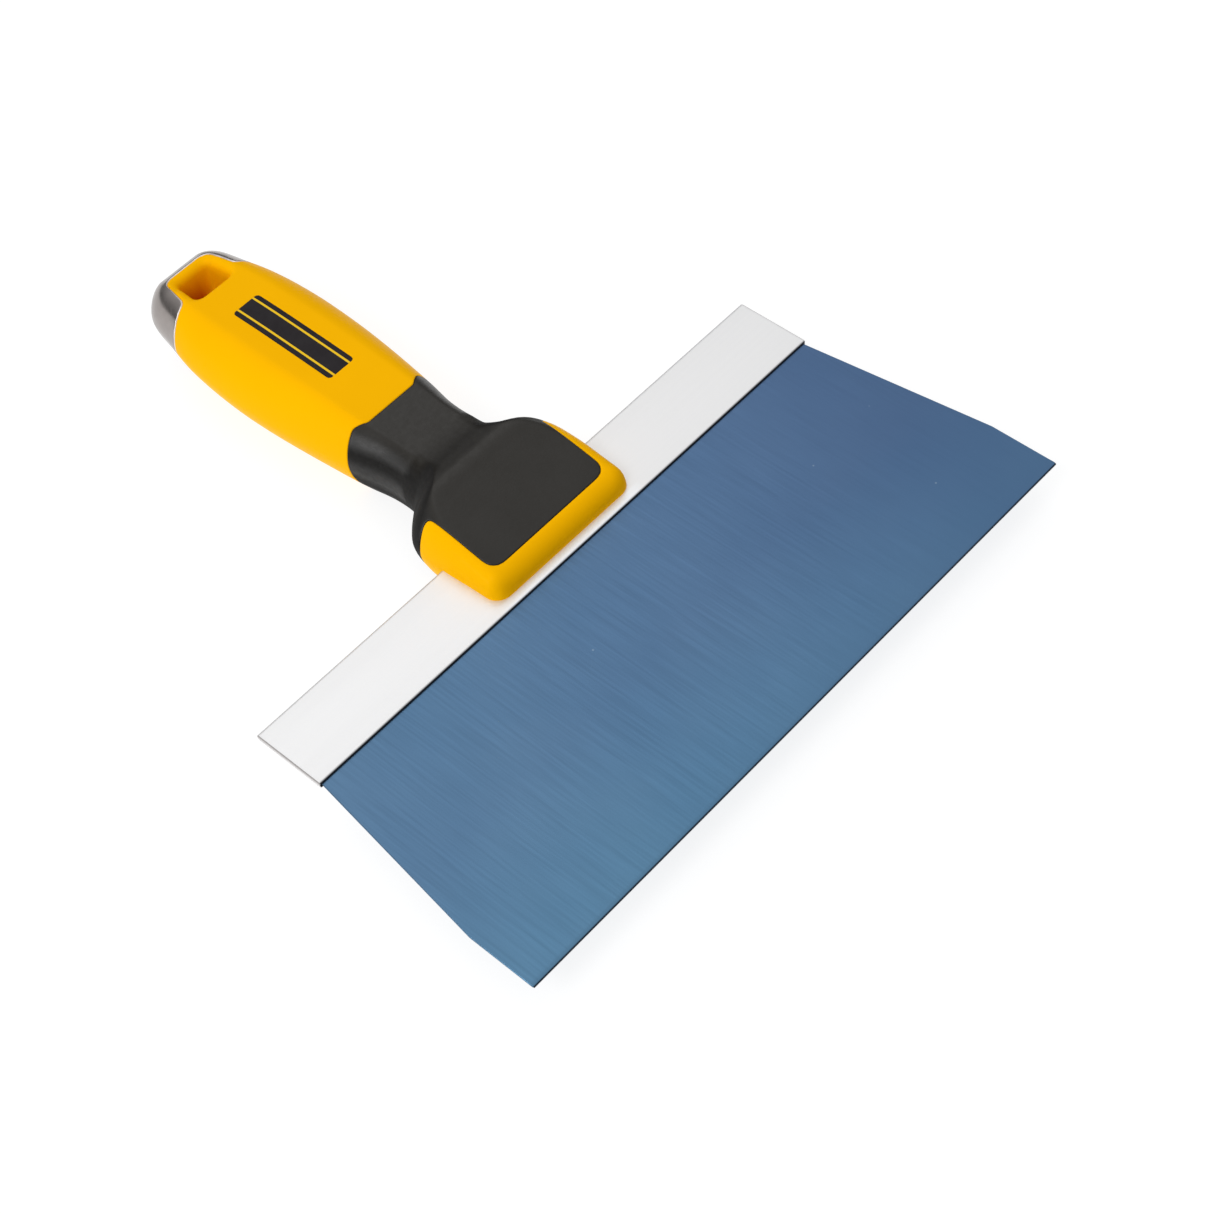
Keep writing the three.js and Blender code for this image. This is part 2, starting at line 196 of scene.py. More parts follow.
def ring_places():
    """The y of each section, closer together on the rounded ends."""
    front = HEAD_FRONT + FRONT_ROUND * (1 - np.cos(np.linspace(0, np.pi / 2, FRONT_ROWS)))
    middle = np.arange(front[-1] + ROW_STEP, BUTT_START, ROW_STEP)
    butt = BUTT_START + (LENGTH - BUTT_START) * np.sin(np.linspace(0, np.pi / 2, BUTT_ROWS))
    return np.concatenate([front, middle, butt])


# ---------------------------------------------------------------- plan outlines
CORNER_POINTS = 13  # on each rounded corner


def rounded(corners):
    """A closed outline through [x, y, radius] corners, mirrored about x = 0."""
    corners = corners + [(-x, y, r) for x, y, r in reversed(corners)]
    places = []
    for i, (x, y, r) in enumerate(corners):
        here = np.array([x, y], float)
        back = np.array(corners[i - 1][:2], float) - here
        ahead = np.array(corners[(i + 1) % len(corners)][:2], float) - here
        if r == 0:
            places.append(here)
            continue
        back, ahead = back / np.linalg.norm(back), ahead / np.linalg.norm(ahead)
        reach = r / math.tan(math.acos(float(back @ ahead)) / 2)
        start, end = here + back * reach, here + ahead * reach
        for t in np.linspace(0, 1, CORNER_POINTS):
            places.append((1 - t) ** 2 * start + 2 * t * (1 - t) * here + t * t * end)
    return np.array(places)


def distance_to(outline):
    """Signed distance in plan to a closed outline, less than 0 inside it."""
    a = outline
    b = np.roll(outline, -1, axis=0)
    ab = b - a

    def field(points):
        p = points[:, None, :2]
        t = np.clip(((p - a) * ab).sum(-1) / np.maximum((ab**2).sum(-1), TINY), 0, 1)
        gap = np.linalg.norm(p - (a + t[..., None] * ab), axis=-1).min(1)
        px, py = points[:, 0:1], points[:, 1:2]
        crosses = (a[:, 1] > py) != (b[:, 1] > py)
        rise = np.where(np.abs(ab[:, 1]) < TINY, TINY, ab[:, 1])
        inside = (crosses & (px < a[:, 0] + (py - a[:, 1]) * ab[:, 0] / rise)).sum(1) % 2 == 1
        return np.where(inside, -gap, gap)

    return field


BEYOND = 40  # an x well outside the handle
CAP_CORNER = (7.5, 167.7)  # where the cap's seam turns back round the hang hole's boss
CAP_SLOPE = 0.15  # how far the seam runs forwards on the flanks, for each mm aside
CAP_ASIDE = CAP_CORNER[1] - CAP_SLOPE * (BEYOND - CAP_CORNER[0])

grip_field = distance_to(rounded([
    (16.4, 66.6, 3.4), (16.4, 85.1, 1.6), (BEYOND, 85.1, 0),
    (BEYOND, 113.6, 0), (9.4, 113.6, 1.2), (6.6, 111.6, 1.2),
]))
core_field = distance_to(rounded([
    (BEYOND, 0, 0), (BEYOND, CAP_ASIDE, 0), (*CAP_CORNER, 1.8), (5.8, 176.7, 3),
]))
hole_field = distance_to(rounded([(5.1, 165.95, 1.9), (4.5, 174.2, 1.9)]))
label_plan = distance_to(rounded([(3.6, 126, 0.9), (3.6, 156, 0.9)]))


def label_field(points):
    """Distance to the label's outline, which counts on the top side only."""
    return np.where(points[:, 2] > 0, label_plan(points), BEYOND)


# ---------------------------------------------------------------- cutting the skin
SEAM = 0.3  # radius of the soft edge where core and grip meet
CAP_SEAM = 0.38  # and where core and cap meet
LABEL_SEAM = 0.1  # and round the label
EDGE_HIGHLIGHT_REACH = 0.247  # how far the cap's painted highlight reaches from its seam
RIM = 1.9  # radius of the hang hole's rim
SNAP = 0.003  # a point this close to a cut lies on it
MARGIN = 2  # polygons this much further off than a cut are left alone
ROUNDING = (0.0, 0.1, 0.3, 0.6, 1.0)  # where the rows of a rounded edge lie, as shares
FIELDS = {"grip": grip_field, "core": core_field, "label": label_field, "hole": hole_field}


class Surface:
    """Polygons on the skin, kept as places (y, q) so that cuts stay on the true surface.
    Each place also has its distance to every outline."""

    def __init__(self):
        y, q = ring_places(), ring_stops()
        grid_y, grid_q = np.meshgrid(y, q, indexing="ij")
        self.y, self.q = list(grid_y.ravel()), list(grid_q.ravel())
        points = skin(grid_y.ravel(), grid_q.ravel())
        self.distance = {name: list(field(points)) for name, field in FIELDS.items()}
        count = len(q)
        self.faces = []
        for r in range(len(y) - 1):
            for i in range(count):
                j = (i + 1) % count
                a, b = r * count, (r + 1) * count
                self.faces.append((a + i, a + j, b + j, b + i))

    def points(self):
        return skin(np.array(self.y), np.array(self.q))

    def between(self, a, b, share):
        """Adds a place part of the way from a to b, the short way round, and gives its number."""
        qa, qb = self.q[a], self.q[b]
        if abs(qa - qb) > 4:
            qa, qb = (qa, qb + 8) if qa > qb else (qa + 8, qb)
        self.y.append(self.y[a] + (self.y[b] - self.y[a]) * share)
        self.q.append((qa + (qb - qa) * share) % 8)
        for values in self.distance.values():
            values.append(values[a] + (values[b] - values[a]) * share)
        return len(self.y) - 1

    def cut(self, name, levels):
        """Splits every polygon that the named distance crosses at any of those levels."""
        value = self.distance[name]
        reach = max(abs(level) for level in levels) + MARGIN
        near, kept = [], []
        for face in self.faces:
            (near if min(abs(value[v]) for v in face) < reach else kept).append(face)
        for level in levels:
            near = self.split(near, value, level)
        self.faces = kept + near

    def split(self, faces, value, level):
        """Cuts the faces in two where the value crosses the level."""
        made = {}
        result = []
        for face in faces:
            sides = [value[v] - level for v in face]
            sides = [0 if abs(side) < SNAP else side for side in sides]
            if min(sides) >= 0 or max(sides) <= 0:
                result.append(face)
                continue
            over, under = [], []
            for k, a in enumerate(face):
                j = (k + 1) % len(face)
                b = face[j]
                if sides[k] >= 0:
                    over.append(a)
                if sides[k] <= 0:
                    under.append(a)
                if sides[k] * sides[j] < 0:
                    key = (min(a, b), max(a, b))
                    if key not in made:
                        made[key] = self.between(a, b, sides[k] / (sides[k] - sides[j]))
                        value[made[key]] = level
                    over.append(made[key])
                    under.append(made[key])
            result += [tuple(part) for part in (over, under) if len(part) > 2]
        return result


def seam_levels(radius):
    """Distances on both sides of a seam where the rows of its rounded edges lie."""
    one_side = [share * radius for share in ROUNDING]
    return [0.0] + [level for distance in one_side[1:] for level in (distance, -distance)]


surface = Surface()
surface.cut("grip", seam_levels(SEAM))
surface.cut("core", seam_levels(CAP_SEAM))
surface.cut("label", seam_levels(LABEL_SEAM))
surface.cut("hole", [RIM])

places = surface.points()
normals = skin_normal(np.array(surface.y), np.array(surface.q))
distances = {name: np.array(values) for name, values in surface.distance.items()}


def centre_value(name, face):
    """The mean distance of a face's corners from the named outline."""
    return sum(distances[name][v] for v in face) / len(face)


def owner(face):
    """The piece that a face of the skin belongs to, or None inside the hang hole."""
    if centre_value("hole", face) < RIM:
        return None
    if centre_value("core", face) > 0:
        return "cap"
    if centre_value("grip", face) < 0:
        return "grip"
    if centre_value("label", face) < 0:
        return "label"
    return "core"


def sink(gap, radius):
    """How far a rounded edge lies below the skin at that distance from its seam."""
    near = np.clip(1 - np.abs(gap) / radius, 0, 1)
    return radius * (1 - np.sqrt(1 - near**2))


depth = np.maximum.reduce([
    sink(distances["grip"], SEAM),
    sink(distances["core"], CAP_SEAM),
    sink(distances["label"], LABEL_SEAM),
])
shaped = places - normals * depth[:, None]


def to_frame(points):
    """Points in metres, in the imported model's frame."""
    return (np.asarray(points, float) + np.array([0, EDGE_Y, MID_Z])) * MM


def build(name, points, faces, material, sharp=40):
    """A smooth-shaded object on the one body, with edges over `sharp` degrees left crisp."""
    mesh = bpy.data.meshes.new(name)
    mesh.from_pydata([tuple(p) for p in to_frame(points)], [], faces)
    mesh.validate()
    mesh.shade_smooth()
    mesh.set_sharp_from_angle(angle=math.radians(sharp))
    mesh.materials.append(material)
    obj = bpy.data.objects.new(name, mesh)
    bpy.context.scene.collection.objects.link(obj)
    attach(obj, "root")
    return obj


def boundary_loops(faces):
    """Closed loops of the edges that only one face has, in the faces' own direction."""
    after = {}
    edges = set()
    for face in faces:
        for k, a in enumerate(face):
            edges.add((a, face[(k + 1) % len(face)]))
    for a, b in edges:
        if (b, a) not in edges:
            after[a] = b
    loops = []
    while after:
        start, here = next(iter(after.items()))
        loop = [start]
        del after[start]
        while here != start and here in after:
            loop.append(here)
            here = after.pop(here)
        loops.append(loop)
    return loops


WALL = 1.2  # how far the side of a moulding goes down into its seam
END_EASE = 0.25  # width of the softened edge round a flat end
PARTING_Z = 0.8  # height of the parting line in the hang hole
HOLE_DRAFT = 0.45  # how much the hole narrows down to that line
RIM_TURNS = 7  # rows round the hole's rim
WALL_ROWS = (0.15, 0.4, 0.7, 1.0)  # and down its wall, as shares
ON_EDGE = 0.01  # a point this close to an edge lies on it


class Piece:
    """One piece of the handle: its share of the skin, with walls at its edges."""

    def __init__(self, name):
        self.points, self.faces = [], []
        self.number = {}  # which point of the piece each point of the skin is
        self.beside_core = []  # which faces are the edge beside the core's seam, with the painted highlight
        for face in surface.faces:
            if owner(face) == name:
                if abs(centre_value("core", face)) < EDGE_HIGHLIGHT_REACH:
                    self.beside_core.append(len(self.faces))
                self.faces.append(tuple(self.take(v) for v in face))

    def take(self, v):
        """The number in this piece of a point of the skin, which is added when it is new."""
        if v not in self.number:
            self.number[v] = len(self.points)
            self.points.append(shaped[v])
        return self.number[v]

    def add(self, point):
        self.points.append(np.asarray(point, float))
        return len(self.points) - 1

    def walls(self):
        """Turns the sides of the piece down into the seams, and closes the ends."""
        source = {index: v for v, index in self.number.items()}
        for loop in boundary_loops(self.faces):
            first = source[loop[0]]
            y = surface.y[first]
            if y < HEAD_FRONT + ON_EDGE or y > LENGTH - ON_EDGE:
                self.close(loop)
            elif abs(distances["hole"][first] - RIM) < 2 * ON_EDGE:
                self.hole_wall(loop)
            else:
                inner = [self.add(self.points[i] - normals[source[i]] * WALL) for i in loop]
                self.strip(loop, inner)

    def strip(self, outer, inner):
        """A band of faces between two loops."""
        for k in range(len(outer)):
            j = (k + 1) % len(outer)
            self.faces.append((outer[j], outer[k], inner[k], inner[j]))

    def close(self, loop):
        """A flat end with a narrow softened edge."""
        points = np.array([self.points[i] for i in loop])
        inward = points.mean(0) - points
        inward /= np.linalg.norm(inward, axis=1, keepdims=True)
        rim = [self.add(p) for p in points + inward * END_EASE]
        self.strip(loop, rim)
        self.faces.append(tuple(reversed(rim)))

    def hole_wall(self, loop):
        """The rounded rim of the hang hole and its wall, down to the parting line."""
        points = np.array([self.points[i] for i in loop])
        step = 0.01
        dx = hole_field(points + [step, 0, 0]) - hole_field(points - [step, 0, 0])
        dy = hole_field(points + [0, step, 0]) - hole_field(points - [0, step, 0])
        outward = np.stack([dx, dy, 0 * dx], -1)
        outward /= np.linalg.norm(outward, axis=1, keepdims=True)
        down = -1 if points[0][2] > 0 else 1
        rows = [loop]
        for turn in np.linspace(0, np.pi / 2, RIM_TURNS)[1:]:
            row = points - outward * RIM * math.sin(turn)
            row[:, 2] += down * RIM * (1 - math.cos(turn))
            rows.append([self.add(p) for p in row])
        edge = np.array([self.points[i] for i in rows[-1]])
        for share in WALL_ROWS:
            row = edge - outward * HOLE_DRAFT * share
            row[:, 2] = edge[:, 2] + (PARTING_Z - edge[:, 2]) * share
            rows.append([self.add(p) for p in row])
        for a, b in zip(rows, rows[1:]):
            self.strip(a, b)


# ---------------------------------------------------------------- materials
def material(name, colour, roughness, metallic=0.0, **sockets):
    """A new material, with plain values that stand in for its nodes where those aren't read."""
    mat = bpy.data.materials.new(name)
    mat.use_nodes = True
    shader = mat.node_tree.nodes["Principled BSDF"]
    shader.inputs["Base Color"].default_value = (*colour, 1)
    shader.inputs["Roughness"].default_value = roughness
    shader.inputs["Metallic"].default_value = metallic
    for socket, value in sockets.items():
        shader.inputs[socket].default_value = value
    return mat


def add(mat, kind, inputs=(), **settings):
    """A new node, whose inputs are each linked or set to a value."""
    node = mat.node_tree.nodes.new(kind)
    for key, value in settings.items():
        setattr(node, key, value)
    for socket, value in dict(inputs).items():
        if isinstance(value, bpy.types.NodeSocket):
            mat.node_tree.links.new(value, node.inputs[socket])
        else:
            node.inputs[socket].default_value = value
    return node


def place(mat, stretch=(1, 1, 1)):
    """The point on the piece in metres, stretched so that noise on it gets a grain."""
    where = add(mat, "ShaderNodeTexCoord").outputs["Object"]
    return add(mat, "ShaderNodeMapping", {"Vector": where, "Scale": stretch}).outputs["Vector"]


def noise(mat, scale, detail=3.0, stretch=(1, 1, 1), rough=0.5):
    inputs = {"Vector": place(mat, stretch), "Scale": scale, "Detail": detail, "Roughness": rough}
    return add(mat, "ShaderNodeTexNoise", inputs).outputs["Fac"]


def spread(mat, value, low, high, from_low=0.3, from_high=0.7):
    """Goes from low to high as the value goes from from_low to from_high, and stays there."""
    inputs = {"Value": value, "From Min": from_low, "From Max": from_high, "To Min": low, "To Max": high}
    return add(mat, "ShaderNodeMapRange", inputs).outputs["Result"]


def blend(mat, share, one, two, kind="MIX"):
    """Colour one where the share is 0, and colour two, or their product, where it is 1."""
    node = add(mat, "ShaderNodeMix", data_type="RGBA", blend_type=kind)
    colours = [socket for socket in node.inputs if socket.type == "RGBA"]
    mat.node_tree.links.new(share, node.inputs["Factor"])
    for socket, colour in zip(colours, (one, two)):
        if isinstance(colour, bpy.types.NodeSocket):
            mat.node_tree.links.new(colour, socket)
        else:
            socket.default_value = (*colour, 1)
    return next(socket for socket in node.outputs if socket.type == "RGBA")


def arithmetic(mat, operation, one, two=0.0):
    node = add(mat, "ShaderNodeMath", operation=operation)
    for socket, value in zip(node.inputs, (one, two)):
        if isinstance(value, bpy.types.NodeSocket):
            mat.node_tree.links.new(value, socket)
        else:
            socket.default_value = value
    return node.outputs["Value"]


def into(mat, **links):
    """Links values to the shader's sockets, whose names have _ for a space here."""
    shader = mat.node_tree.nodes["Principled BSDF"]
    for socket, value in links.items():
        mat.node_tree.links.new(value, shader.inputs[socket.replace("_", " ")])


def bump(mat, height, strength, distance):
    inputs = {"Height": height, "Strength": strength, "Distance": distance}
    into(mat, Normal=add(mat, "ShaderNodeBump", inputs).outputs["Normal"])


def axis(mat, name, kind="Object"):
    """One coordinate of the point on the piece in metres, or of its normal."""
    where = add(mat, "ShaderNodeTexCoord").outputs[kind]
    return add(mat, "ShaderNodeSeparateXYZ", {"Vector": where}).outputs[name]


def away(mat, name, middle=0.0):
    """How far the point is from a plane across that axis."""
    return arithmetic(mat, "ABSOLUTE", arithmetic(mat, "SUBTRACT", axis(mat, name), middle))


def product(mat, first, *masks):
    for mask in masks:
        first = arithmetic(mat, "MULTIPLY", first, mask)
    return first


def yellow_plastic():
    """Satin yellow moulding, with painted shade of a deeper tone down inside the hang hole, to the left.
    """
    mat = material("yellow_plastic", (0.96, 0.45, 0.001), 0.3, **{"Specular IOR Level": 0.01})
    tone = spread(mat, noise(mat, 45, 2), 0, 1)
    colour = blend(mat, tone, (0.945, 0.466, 0.0004), (0.975, 0.483, 0.0004))

    # Painted shade: the left part of the hang hole, deeper in tone the further down it is.
    beside = spread(mat, axis(mat, "X"), 1, 0, 0.8 * MM, 3.6 * MM)
    within = spread(mat, axis(mat, "X"), 0, 1, -5.6 * MM, -5.3 * MM)
    ahead = spread(mat, axis(mat, "Y"), 0, 1, (EDGE_Y + 165.4) * MM, (EDGE_Y + 166.2) * MM)
    deep = spread(mat, axis(mat, "Z"), 1, 0, (MID_Z - 1) * MM, (MID_Z + 9) * MM)
    well = product(mat, deep, beside, within, ahead)
    into(mat, Base_Color=blend(mat, well, colour, (0.42, 0.012, 0.0004)))

    into(mat, Roughness=spread(mat, noise(mat, 700), 0.26, 0.34))
    bump(mat, noise(mat, 2600, 2), 0.12, 0.06 * MM)
    return mat


CREASE_Y = 94.5  # where the neck's flanks meet the back of the head


def black_rubber():
    """Soft black overmould, its colour painted palest on the upward flats and darker, as painted
    shade, on the flanks and where it faces the butt. Glossy on the shoulders, dull in a band along
    each flank, where it slopes back towards the neck and in the crease behind the head."""
    mat = material("black_rubber", (0.015, 0.013, 0.012), 0.5, **{"Specular IOR Level": 0.45})
    upward = arithmetic(mat, "ABSOLUTE", axis(mat, "Z", "Normal"))
    ahead = spread(mat, axis(mat, "Y", "Normal"), 1, 0, 0.03, 0.3)  # 0 where it faces the butt
    # Painted shade: the colour darkens on the flanks and where the surface faces the butt.
    flat = product(mat, spread(mat, upward, 0, 1, 0.5, 0.85), ahead)
    mottle = spread(mat, noise(mat, 120), 0, 1)
    satin = blend(mat, mottle, (0.0064, 0.0044, 0.0014), (0.0096, 0.0076, 0.0046))
    into(mat, Base_Color=blend(mat, flat, (0.0015, 0.001, 0.0005), satin))

    # Gloss above and below the dull band, and none in the crease.
    below = spread(mat, upward, 0.7, 0, 0.1, 0.24)
    above = spread(mat, upward, 0, 1, 0.32, 0.46)
    aside = spread(mat, away(mat, "X"), 0, 1, 5.5 * MM, 8 * MM)
    beside = spread(mat, away(mat, "Y", (EDGE_Y + CREASE_Y) * MM), 1, 0, 2.5 * MM, 4.5 * MM)
    crease = product(mat, beside, aside)
    gloss = product(mat, arithmetic(mat, "MAXIMUM", below, above), ahead)
    gloss = arithmetic(mat, "SUBTRACT", gloss, crease)

    grain = spread(mat, noise(mat, 900), 0, 0.1)
    into(mat, Roughness=arithmetic(mat, "ADD", spread(mat, gloss, 0.9, 0.36, 0, 1), grain))
    bump(mat, noise(mat, 2200, 4, rough=0.65), 0.4, 0.08 * MM)
    return mat


def cap_metal():
    """Bare dark metal, finely mottled and fairly glossy."""
    mat = material("cap_metal", (0.5, 0.48, 0.46), 0.3, 1.0)
    tone = spread(mat, noise(mat, 260, 4), 0, 1)
    into(mat, Base_Color=blend(mat, tone, (0.300, 0.272, 0.258), (0.347, 0.315, 0.300)))
    into(mat, Roughness=spread(mat, noise(mat, 900), 0.18, 0.27))
    bump(mat, noise(mat, 3000, 3), 0.15, 0.04 * MM)
    return mat


def cap_edge_highlight():
    """The cap's narrow edge beside the core, with a painted highlight."""
    mat = material("cap_edge_highlight", (0.9, 0.87, 0.86), 0.4, 0.8)
    tone = spread(mat, noise(mat, 500, 3), 0, 1)
    into(mat, Base_Color=blend(mat, tone, (0.62, 0.58, 0.575), (0.80, 0.76, 0.755)))
    into(mat, Roughness=spread(mat, noise(mat, 900), 0.38, 0.5))
    return mat


def bar_aluminium():
    """Pale satin sheet, with painted shade grey on the faces that turn down from the top, round the
    fold and lip, and dark under its front lip; greyer on the sheared ends; and painted light, paler
    and a little cooler, in front of the head."""
    mat = material("bar_aluminium", (0.9, 0.9, 0.9), 0.4, 0.6)
    grain = noise(mat, 1400, 3, stretch=(0.02, 1, 1))
    tone = blend(mat, spread(mat, grain, 0, 1), (0.84, 0.84, 0.845), (0.86, 0.86, 0.865))
    # Painted shade: grey on the faces below the top, round the fold and lip.
    low = spread(mat, away(mat, "Z", MID_Z * MM), 1, 0, (BAR_OUTER - 0.25) * MM, (BAR_OUTER - 0.03) * MM)
    tone = blend(mat, low, tone, (0.42, 0.42, 0.43))

    # Painted light: the strip in front of the head, paler and a little cooler.
    head = (EDGE_Y + HEAD_FRONT) * MM
    beside = spread(mat, away(mat, "X"), 1, 0, 17 * MM, 21 * MM)
    ahead = spread(mat, axis(mat, "Y"), 1, 0, head - 0.4 * MM, head + 0.2 * MM)
    high = spread(mat, low, 1, 0, 0, 1)
    tone = blend(mat, product(mat, beside, ahead, high), tone, (0.93, 0.96, 1.0))

    # Painted shade under the front lip.
    lip = (EDGE_Y + BAR_FRONT) * MM
    near = spread(mat, axis(mat, "Y"), 1, 0, lip + 0.8 * MM, lip + 2 * MM)
    tone = blend(mat, product(mat, low, near), tone, (0.02, 0.022, 0.03))

    # The sheared ends, darker at the top.
    end = spread(mat, away(mat, "X"), 0, 1, (BAR_HALF - 0.14) * MM, (BAR_HALF - 0.04) * MM)
    rise = spread(mat, axis(mat, "Z"), 0, 1, (MID_Z - 0.5) * MM, (MID_Z + 0.7) * MM)
    cut = blend(mat, rise, (0.80, 0.78, 0.78), (0.30, 0.28, 0.275))
    into(mat, Base_Color=blend(mat, end, tone, cut))

    into(mat, Roughness=spread(mat, grain, 0.4, 0.46))
    bump(mat, grain, 0.05, 0.02 * MM)
    return mat


def blued_steel():
    """Blued sheet that turns from teal on the left to violet on the right and deepens towards
    the bar, both painted shade, with a lengthwise grain, a few pale specks and a dark working edge."""
    mat = material("blued_steel", (0.1, 0.19, 0.31), 0.36, 0.9)
    cloud = spread(mat, noise(mat, 28, 3), 0, 1)
    grain = noise(mat, 1800, 3, stretch=(1, 0.03, 1))
    teal = blend(mat, cloud, (0.084, 0.188, 0.304), (0.097, 0.205, 0.321))
    violet = blend(mat, cloud, (0.073, 0.155, 0.286), (0.083, 0.168, 0.301))
    # Painted shade: darker and more violet towards the right.
    colour = blend(mat, spread(mat, axis(mat, "X"), 0, 1, -45 * MM, 62 * MM), teal, violet)
    # Painted shade: deeper towards the bar.
    rearward = spread(mat, axis(mat, "Y"), 0, 1, (EDGE_Y + 4) * MM, (EDGE_Y + 32) * MM)
    colour = blend(mat, rearward, colour, (0.96, 0.87, 0.91), "MULTIPLY")

    # Specks in a few of the cells of a Voronoi texture.
    cells = add(mat, "ShaderNodeTexVoronoi", {"Vector": place(mat), "Scale": 260})
    near = spread(mat, cells.outputs["Distance"], 1, 0, 0.03, 0.08)
    draw = add(mat, "ShaderNodeSeparateColor", {"Color": cells.outputs["Color"]}).outputs["Red"]
    speck = product(mat, near, arithmetic(mat, "GREATER_THAN", draw, 0.93), 0.35)
    colour = blend(mat, speck, colour, (0.35, 0.45, 0.55))

    edge = spread(mat, axis(mat, "Y"), 1, 0, (EDGE_Y + 0.12) * MM, (EDGE_Y + 0.35) * MM)
    into(mat, Base_Color=blend(mat, edge, colour, (0.008, 0.011, 0.02)))
    into(mat, Roughness=spread(mat, grain, 0.31, 0.41))
    bump(mat, grain, 0.08, 0.03 * MM)
    return mat


def plain_steel():
    """Plain steel with a grain, for the hidden tang and rivets."""
    mat = material("plain_steel", (0.5, 0.51, 0.53), 0.4, 1.0)
    grain = noise(mat, 1500, 3, stretch=(1, 0.05, 1))
    into(mat, Base_Color=blend(mat, spread(mat, grain, 0, 1), (0.42, 0.43, 0.45), (0.56, 0.57, 0.59)))
    into(mat, Roughness=spread(mat, grain, 0.33, 0.48))
    return mat


STRIPE_X = 2.2  # x of the label's two stripes


def label_film():
    """A plain dark film with two thin stripes along it."""
    mat = material("label_film", (0.03, 0.027, 0.03), 0.5, **{"Specular IOR Level": 0.15})
    offset = arithmetic(mat, "ABSOLUTE", arithmetic(mat, "SUBTRACT", away(mat, "X"), STRIPE_X * MM))
    stripe = spread(mat, offset, 1, 0, 0.22 * MM, 0.28 * MM)
    tone = blend(mat, spread(mat, noise(mat, 300), 0, 1), (0.012, 0.009, 0.011), (0.017, 0.014, 0.016))
    into(mat, Base_Color=blend(mat, stripe, tone, (0.88, 0.55, 0.01)))
    into(mat, Roughness=spread(mat, noise(mat, 1200), 0.42, 0.55))
    bump(mat, noise(mat, 2500, 2), 0.1, 0.04 * MM)
    return mat


# ---------------------------------------------------------------- the handle's pieces
for part, node, finish in (
    ("core", "handle_core", yellow_plastic),
    ("grip", "grip_overmould", black_rubber),
    ("cap", "hammer_cap", cap_metal),
    ("label", "label_panel", label_film),
):
    piece = Piece(part)
    piece.walls()
    obj = build(node + "_skin", piece.points, piece.faces, finish())
    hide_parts(node)
    if part == "cap":
        # Painted highlight on the cap's edge beside the core.
        obj.data.materials.append(cap_edge_highlight())
        for number in piece.beside_core:
            obj.data.polygons[number].material_index = 1


# ---------------------------------------------------------------- blade
def blade():
    """The blade sheet, with a narrow ground bevel on the working edge and eased edges."""
    slack = 0.15  # room between the blade's rear edge and the bar's fold
    ease = 0.12  # how far the edges are eased
    ground = 0.8  # how far the ground bevel reaches
    nose = 0.5  # length of the clipped front corners
    rear = BAR_REAR - BAR_OUTER - slack
    half = EDGE_WIDTH / 2
    thick = BLADE_THICK / 2
    rear_half = half - (rear - SIDE_STRAIGHT) * SIDE_TAPER

    def outline(inset, front):
        """The plan outline, drawn in by the inset, with its front at that y."""
        return [
            (-half + inset + nose * 0.3, front), (half - inset - nose * 0.3, front),
            (half - inset, front + nose), (half - inset, SIDE_STRAIGHT),
            (rear_half - inset, rear - inset), (-rear_half + inset, rear - inset),
            (-half + inset, SIDE_STRAIGHT), (-half + inset, front + nose),
        ]

    rows = [
        (outline(ease, ground), -thick), (outline(0, 0), -thick + ease * 0.9),
        (outline(0, 0), thick - ease * 0.9), (outline(ease, ground), thick),
    ]
    points = [(x, y, z) for row, z in rows for x, y in row]
    n = len(rows[0][0])
    faces = [tuple(reversed(range(n))), tuple(range(3 * n, 4 * n))]
    for r in range(3):
        for i in range(n):
            j = (i + 1) % n
            faces.append((r * n + i, r * n + j, (r + 1) * n + j, (r + 1) * n + i))
    return points, faces


obj = build("blade_sheet", *blade(), blued_steel(), sharp=8)
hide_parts("blade")


# ---------------------------------------------------------------- back bar
def arc(cx, cy, radius, start, end, steps):
    """Points on a circle, from one angle in degrees to the other."""
    turns = np.radians(np.linspace(start, end, steps + 1))
    return [(cx + radius * math.cos(t), cy + radius * math.sin(t)) for t in turns]


